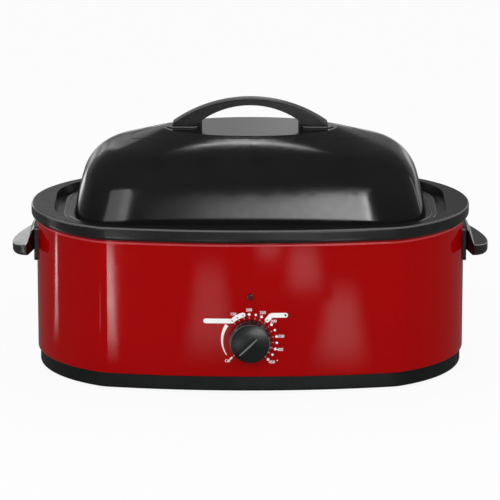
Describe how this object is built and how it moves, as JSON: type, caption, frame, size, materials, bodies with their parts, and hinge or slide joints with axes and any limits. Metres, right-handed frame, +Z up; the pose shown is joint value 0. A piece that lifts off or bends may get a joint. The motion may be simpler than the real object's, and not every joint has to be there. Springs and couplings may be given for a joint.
{
  "type": "electric roaster oven",
  "caption": "Countertop electric roaster: oval red case on a black skirt, lift-off domed lid with an arched grip, pan and rack, side handles and a dial knob.",
  "frame": {"origin": "on the floor, under the middle of the oval body", "axes": "+Z up, front with the knob towards -Y, +X to the right seen from the front, along the body's length"},
  "size_m": [0.577, 0.3469, 0.3275],
  "materials": {
    "red_enamel": "gloss",
    "lid_enamel": "gloss",
    "pan_enamel": "gloss",
    "rim_plastic": "satin",
    "skirt_plastic": "satin",
    "handle_plastic": "satin",
    "grip_plastic": "satin",
    "knob_plastic": "satin",
    "chrome_wire": "polished",
    "zinc_steel": "zinc plated",
    "aluminised_steel": "aluminised",
    "bright_metal": "bright",
    "brass": "plain",
    "copper": "plain",
    "ceramic": "unglazed ceramic",
    "rubber": "matt",
    "glass_wool": "fibre",
    "lens": "clear red",
    "neon_glass": "clear",
    "lead_insulation": "glass-braid sleeve"
  },
  "bodies": {
    "body": {"top_rim": "rim_plastic", "outer_housing": "red_enamel", "housing_back": "red_enamel", "housing_splices": "zinc_steel", "splice_rivets": "bright_metal", "base_skirt": "skirt_plastic", "bottom_plate": "zinc_steel", "rubber_feet": "rubber", "side_handle_left": "handle_plastic", "side_handle_right": "handle_plastic", "side_handle_screws": "zinc_steel", "indicator_lens": "lens", "indicator_lamp": "neon_glass", "lamp_retainer": "zinc_steel", "thermostat_body": "ceramic", "thermostat_bracket": "zinc_steel", "thermostat_screws": "zinc_steel", "sensing_strap": "copper", "cord_gland": "rubber", "gland_nut": "rim_plastic", "inner_liner": "aluminised_steel", "liner_screws": "zinc_steel", "heater_band": "aluminised_steel", "band_ears": "zinc_steel", "band_bolts": "zinc_steel", "heater_terminals": "ceramic", "insulation_blanket": "glass_wool", "heat_baffle": "aluminised_steel", "clamp_studs": "zinc_steel", "stud_spacers": "zinc_steel", "clamp_nuts": "zinc_steel", "terminal_block": "ceramic", "terminal_screws": "brass", "ground_screw": "zinc_steel", "lead_lamp": "lead_insulation", "lead_supply": "lead_insulation", "lead_heater": "lead_insulation", "lead_neutral": "lead_insulation"},
    "knob": {"control_knob": "knob_plastic", "thermostat_shaft": "brass", "knob_spring": "zinc_steel"},
    "pan": {"roasting_pan": "pan_enamel"},
    "rack": {"roasting_rack": "chrome_wire"},
    "lid": {"lid_shell": "lid_enamel", "lid_handle": "grip_plastic", "lid_handle_screws": "zinc_steel", "lid_handle_washers": "zinc_steel"}
  },
  "joints": [
    {"name": "knob_turn", "type": "hinge", "parent": "body", "child": "knob", "pos_m": [0, -0.1577, 0.0663], "axis": [0, 1, 0], "range_deg": [0, 272]},
    {"name": "pan_lift", "type": "slide", "parent": "body", "child": "pan", "axis": [0, 0, 1], "range_m": [0, 0.17]},
    {"name": "rack_lift", "type": "slide", "parent": "pan", "child": "rack", "axis": [0, 0, 1], "range_m": [0, 0.15]},
    {"name": "lid_lift", "type": "slide", "parent": "rack", "child": "lid", "axis": [0, 0, 1], "range_m": [0, 0.15]}
  ]
}
